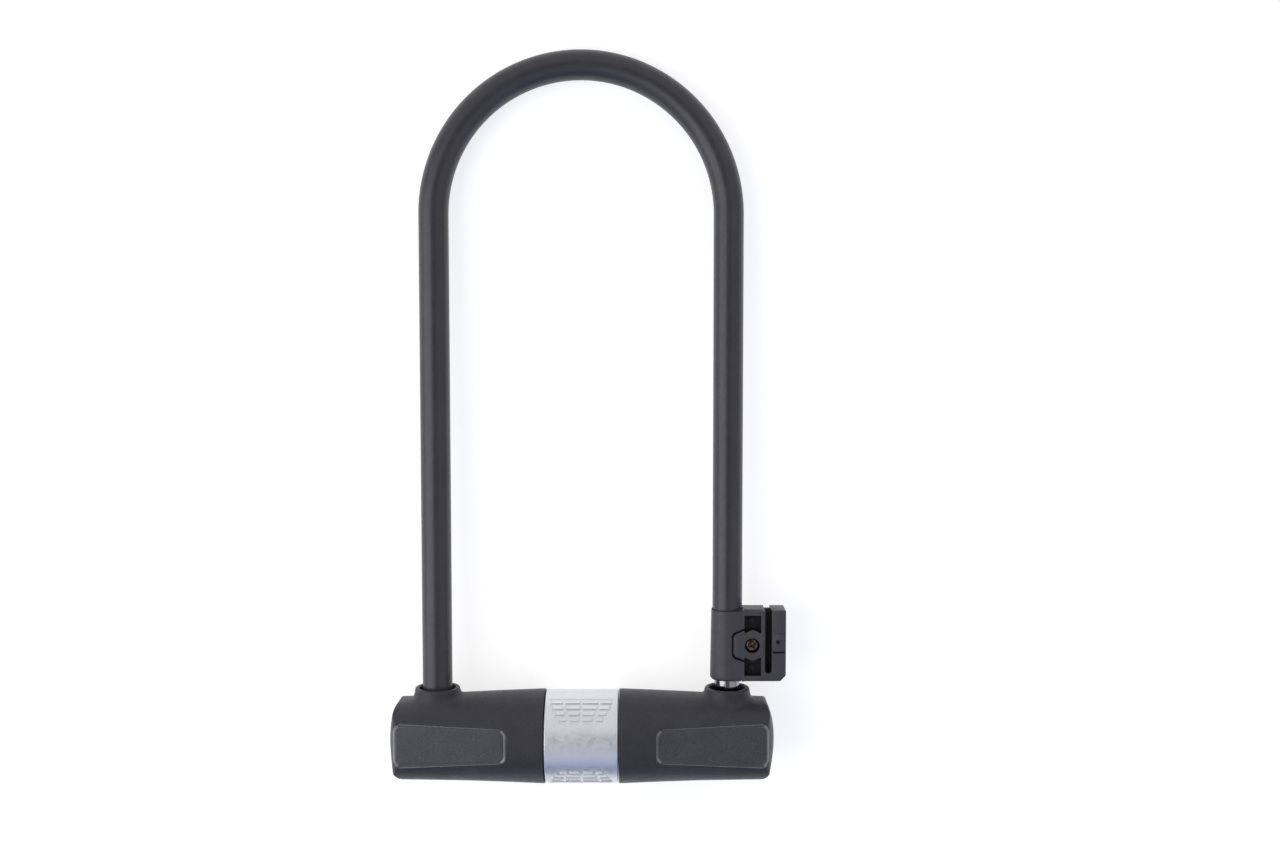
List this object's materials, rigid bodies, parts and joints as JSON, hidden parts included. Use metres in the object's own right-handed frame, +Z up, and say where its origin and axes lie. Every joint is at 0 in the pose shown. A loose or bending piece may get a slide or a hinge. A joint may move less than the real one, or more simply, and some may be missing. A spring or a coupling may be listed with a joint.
{
  "type": "bicycle u lock",
  "caption": "Bicycle U lock: vinyl-coated steel shackle in a covered crossbar with key cylinder, deadbolts and a turning dust band, and a frame-bracket adapter on one leg.",
  "frame": {"origin": "on the ground, under the middle of the lock as it lies on its back with the crossbar and the crown touching the ground", "axes": "+X along the crossbar to the right, +Y from the crossbar towards the crown, +Z up out of the lock's front; the legs slope 2.8 degrees down towards the crown"},
  "size_m": [0.2186, 0.4027, 0.052],
  "materials": {
    "bare_steel": "polished and hardened",
    "die_cast_zinc": "as cast",
    "brass": "machined",
    "spring_steel": "drawn",
    "black_vinyl": "soft satin",
    "cover_plastic": "fine moulded grain",
    "adapter_plastic": "smooth moulded",
    "silver_plastic": "satin silver paint",
    "black_rubber": "matt",
    "blackened_steel": "black zinc"
  },
  "bodies": {
    "crossbar": {"crossbar_tube": "bare_steel", "end_plug_left": "die_cast_zinc", "end_plug_right": "die_cast_zinc", "bolt_guide_inner_left": "die_cast_zinc", "bolt_guide_inner_right": "die_cast_zinc", "bolt_guide_outer_left": "die_cast_zinc", "bolt_guide_outer_right": "die_cast_zinc", "cover_left": "cover_plastic", "cover_right": "cover_plastic", "leg_seal_left": "black_rubber", "leg_seal_right": "black_rubber", "band_carrier": "cover_plastic", "band_detent_spring": "spring_steel", "cylinder_housing": "die_cast_zinc", "cylinder_pin": "spring_steel"},
    "shackle": {"shackle_steel": "bare_steel", "shackle_coat": "black_vinyl", "adapter_sleeve": "adapter_plastic", "adapter_block": "adapter_plastic", "adapter_liner": "black_rubber", "adapter_screw": "blackened_steel", "adapter_nut": "blackened_steel"},
    "band": {"dust_band": "silver_plastic"},
    "plug": {"cylinder_plug": "brass", "plug_clip": "spring_steel", "cam_disc": "bare_steel"},
    "left_bolt": {"bolt_left": "bare_steel", "bolt_pin_left": "spring_steel"},
    "right_bolt": {"bolt_right": "bare_steel", "bolt_pin_right": "spring_steel"},
    "wafer_slider_1": {"wafer_1": "brass"},
    "wafer_slider_2": {"wafer_2": "brass"},
    "wafer_slider_3": {"wafer_3": "brass"},
    "wafer_slider_4": {"wafer_4": "brass"},
    "wafer_slider_5": {"wafer_5": "brass"}
  },
  "joints": [
    {"name": "shackle_slide", "type": "slide", "parent": "crossbar", "child": "shackle", "axis": [0, 0.9988, -0.0482], "range_m": [0, 0.06]},
    {"name": "band_turn", "type": "hinge", "parent": "crossbar", "child": "band", "pos_m": [-0.00313, -0.17533, 0.026], "axis": [-1, 0, 0], "range_deg": [0, 90]},
    {"name": "plug_turn", "type": "hinge", "parent": "crossbar", "child": "plug", "pos_m": [-0.00313, -0.17533, 0.026], "axis": [0, 0.9988, -0.0482], "range_deg": [0, 90]},
    {"name": "left_bolt_slide", "type": "slide", "parent": "crossbar", "child": "left_bolt", "axis": [-1, 0, 0], "range_m": [0, 0.006]},
    {"name": "right_bolt_slide", "type": "slide", "parent": "crossbar", "child": "right_bolt", "axis": [1, 0, 0], "range_m": [0, 0.00601]},
    {"name": "wafer_slide_1", "type": "slide", "parent": "plug", "child": "wafer_slider_1", "axis": [0, 0.0482, 0.9988], "range_m": [0, 0.0009]},
    {"name": "wafer_slide_2", "type": "slide", "parent": "plug", "child": "wafer_slider_2", "axis": [0, -0.0482, -0.9988], "range_m": [0, 0.00061]},
    {"name": "wafer_slide_3", "type": "slide", "parent": "plug", "child": "wafer_slider_3", "axis": [0, 0.0482, 0.9988], "range_m": [0, 0.00081]},
    {"name": "wafer_slide_4", "type": "slide", "parent": "plug", "child": "wafer_slider_4", "axis": [0, -0.0482, -0.9988], "range_m": [0, 0.00051]},
    {"name": "wafer_slide_5", "type": "slide", "parent": "plug", "child": "wafer_slider_5", "axis": [0, 0.0482, 0.9988], "range_m": [0, 0.00071]}
  ],
  "couplings": [
    {"joint": "plug_turn", "follows": "left_bolt_slide", "rad_per_m": 261.8},
    {"joint": "right_bolt_slide", "follows": "left_bolt_slide", "ratio": 1},
    {"joint": "wafer_slide_2", "follows": "wafer_slide_1", "ratio": 0.6667},
    {"joint": "wafer_slide_3", "follows": "wafer_slide_1", "ratio": 0.8889},
    {"joint": "wafer_slide_4", "follows": "wafer_slide_1", "ratio": 0.5556},
    {"joint": "wafer_slide_5", "follows": "wafer_slide_1", "ratio": 0.7778}
  ]
}
